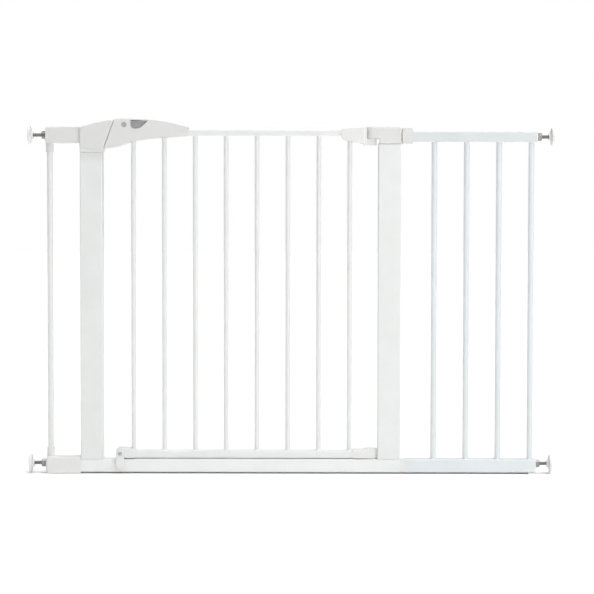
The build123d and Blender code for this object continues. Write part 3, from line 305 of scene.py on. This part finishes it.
def hex_nut(place, material):
    """A hexagon nut with its corners turned off at both faces and its bore open round the rod."""
    node = f"{place}_nut"
    low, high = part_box(node)
    rod_low, rod_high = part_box(f"{place}_rod")
    axis_z = (low.z + high.z) / 2
    flat = min(high.y - low.y, high.z - low.z) / 2
    corner = max(high.y - low.y, high.z - low.z) / 2
    bore = (rod_high.z - rod_low.z) / 2 * NUT_BORE
    first_flat = 0.0 if high.z - low.z > high.y - low.y else math.pi / 6

    def across_hexagon(angle):
        """Distance from the axis to the hexagon's edge in one direction."""
        off_flat = (angle - first_flat + math.pi / 6) % (math.pi / 3) - math.pi / 6
        return flat / math.cos(off_flat)

    def ring(x, limit):
        angles = [2 * math.pi * side / NUT_SIDES for side in range(NUT_SIDES)]
        reaches = [min(across_hexagon(angle), limit) for angle in angles]
        return [(x, r * math.cos(a), axis_z + r * math.sin(a)) for r, a in zip(reaches, angles)]

    face = flat * NUT_FACE
    shares = [step / CHAMFER_STEPS for step in range(CHAMFER_STEPS + 1)]
    limits = [face + share * (corner - face) for share in shares]
    rings = [ring(low.x, bore)]
    rings += [ring(low.x + share * NUT_CHAMFER, limit) for share, limit in zip(shares, limits)]
    mirrored = list(zip(shares, limits))[::-1]
    rings += [ring(high.x - share * NUT_CHAMFER, limit) for share, limit in mirrored]
    rings.append(ring(high.x, bore))
    piece = ring_surface(f"{place}_hex_nut", rings)
    hand_over(piece, f"{place}_adjuster", node, material)


# ---- dress the model ----
white_steel = powder_coat("powder_coat", (0.80, 0.815, 0.805))
base_steel = powder_coat("powder_coat_base", (0.84, 0.86, 0.85))
cool_steel = powder_coat("powder_coat_cool", (0.745, 0.785, 0.80))
# A darker copy of the extension's cool coat: painted shade for the extension's top rail, which reads
# darker under the light.
painted_shade_steel = powder_coat("powder_coat_painted_shade", (0.69, 0.725, 0.735))
white_plastic = moulded_plastic("white_plastic", (0.80, 0.80, 0.785))
lock_plastic = moulded_plastic("lock_plastic", (0.735, 0.735, 0.72), edge=0.0012)
grey_plastic = moulded_plastic("grey_plastic", (0.42, 0.43, 0.425), 0.38)
button_plastic = moulded_plastic("button_plastic", (0.41, 0.42, 0.41), 0.36)
zinc = zinc_plate("zinc", (0.34, 0.34, 0.335))
screw_zinc = zinc_plate("screw_zinc", (0.42, 0.56, 0.62), 0.24)
spring_wire = drawn_wire("spring_steel", (0.45, 0.46, 0.47))
rubber = soft_rubber("soft_face", (0.72, 0.72, 0.70))

paint_nodes(white_steel, "left_post", "right_post", "left_bar")
paint_nodes(base_steel, "base_rail")
paint_nodes(white_steel, "door_top_rail", "door_bottom_rail", "door_bars")
paint_nodes(cool_steel, "right_bottom_rail", "right_bars")
# The extension's top rail gets the darker copy of its coat: painted shade.
paint_nodes(painted_shade_steel, "right_top_rail")
paint_nodes(lock_plastic, "lock_housing_front", "lock_housing_rear", "handle_front", "handle_rear")
paint_nodes(lock_plastic, "left_top_bracket", "upper_hinge_housing", "right_top_connector")
paint_nodes(white_plastic, "left_bottom_bracket", "upper_hinge_wing")
paint_nodes(white_plastic, "lower_hinge_bracket", "foot_sleeve", "hinge_washer")
paint_nodes(white_plastic, "right_bottom_connector")
paint_nodes(white_plastic, "right_top_plug", "right_bottom_plug", "stop_tab")
paint_nodes(grey_plastic, "thumb_slide")
paint_nodes(button_plastic, "release_button")
paint_nodes(screw_zinc, "stop_screw", "lock_housing_screws", "handle_screws")
paint_nodes(zinc, "lock_keeper", "lock_bolt", "upper_hinge_pin", "lower_hinge_pin")
paint_nodes(spring_wire, "bolt_spring", "button_spring")
for place in PLACES:
    paint_nodes(white_plastic, f"{place}_pad")
    paint_nodes(rubber, f"{place}_pad_face")
    threaded_rod(place, zinc)
    hex_nut(place, zinc)


# ---- floor, light and camera ----
def pale_floor():
    """A matt floor that runs far past the gate on every side."""
    size = FLOOR_SIZE
    corners = [(-size, -size, 0), (size, -size, 0), (size, size, 0), (-size, size, 0)]
    mesh = bpy.data.meshes.new("floor")
    mesh.from_pydata(corners, [], [(0, 1, 2, 3)])
    floor = bpy.data.objects.new("floor", mesh)
    bpy.context.scene.collection.objects.link(floor)
    floor.location.z = cad_low.z - FLOOR_DROP
    material, tree, shader = new_material("pale_floor")
    speckle = noise(tree, object_coordinates(tree), 60.0, 2.0)
    tree.links.new(ramp(tree, speckle, 0.3, 0.7, FLOOR_SHADES), shader.inputs["Base Color"])
    shader.inputs["Roughness"].default_value = 0.9
    shader.inputs["Specular IOR Level"].default_value = 0.0
    mesh.materials.append(material)


def soft_light(name, kind, place, target, strength):
    """A light that shines from a place towards a target."""
    light = bpy.data.lights.new(name, kind)
    light.energy = strength
    lamp = bpy.data.objects.new(name, light)
    lamp.location = place
    lamp.rotation_euler = (target - Vector(place)).to_track_quat("-Z", "Y").to_euler()
    bpy.context.scene.collection.objects.link(lamp)
    return light


def studio():
    """A white room that is darker on the left, with a soft key from the right and a ceiling light.

    The backdrop behind the gate is plain white; only the light that reaches the gate is graded.
    """
    world = bpy.data.worlds.new("studio")
    world.use_nodes = True
    tree = world.node_tree
    backdrop = tree.nodes["Background"]
    backdrop.inputs["Color"].default_value = (1.0, 1.0, 1.0, 1.0)
    backdrop.inputs["Strength"].default_value = 1.0
    room = tree.nodes.new("ShaderNodeBackground")
    direction = tree.nodes.new("ShaderNodeTexCoord")
    parts = tree.nodes.new("ShaderNodeSeparateXYZ")
    across = tree.nodes.new("ShaderNodeMapRange")
    across.inputs["From Min"].default_value = -1.0
    across.inputs["From Max"].default_value = 1.0
    across.inputs["To Min"].default_value = SKY_LEFT
    across.inputs["To Max"].default_value = SKY_RIGHT
    seen = tree.nodes.new("ShaderNodeLightPath")
    mix = tree.nodes.new("ShaderNodeMixShader")
    tree.links.new(direction.outputs["Generated"], parts.inputs["Vector"])
    tree.links.new(parts.outputs["X"], across.inputs["Value"])
    tree.links.new(across.outputs["Result"], room.inputs["Strength"])
    tree.links.new(seen.outputs["Is Camera Ray"], mix.inputs["Fac"])
    tree.links.new(room.outputs["Background"], mix.inputs[1])
    tree.links.new(backdrop.outputs["Background"], mix.inputs[2])
    tree.links.new(mix.outputs["Shader"], tree.nodes["World Output"].inputs["Surface"])
    bpy.context.scene.world = world
    soft_light("key", "AREA", KEY_PLACE, middle, KEY).size = KEY_SIZE
    ceiling = soft_light("ceiling", "SUN", CEILING_PLACE, Vector(), OVERHEAD)
    ceiling.angle = math.radians(CEILING_SPREAD)


def photograph_view(centre):
    """A long lens in front of the gate, above its middle and rolled a little."""
    lens = bpy.data.cameras.new("eye")
    lens.lens = LENS
    lens.sensor_width = SENSOR
    lens.clip_end = 100.0
    eye = bpy.data.objects.new("eye", lens)
    aim = centre + Vector((AIM_RIGHT, 0, 0))
    eye.location = (aim.x, cad_low.y - EYE_DISTANCE, EYE_HEIGHT)
    facing = (aim - eye.location).to_track_quat("-Z", "Y")
    eye.rotation_euler = (facing @ Quaternion((0, 0, 1), EYE_ROLL)).to_euler()
    bpy.context.scene.collection.objects.link(eye)
    bpy.context.scene.camera = eye


middle = (cad_low + cad_high) / 2
pale_floor()
studio()
photograph_view(middle)
bpy.context.scene.view_settings.view_transform = "Standard"
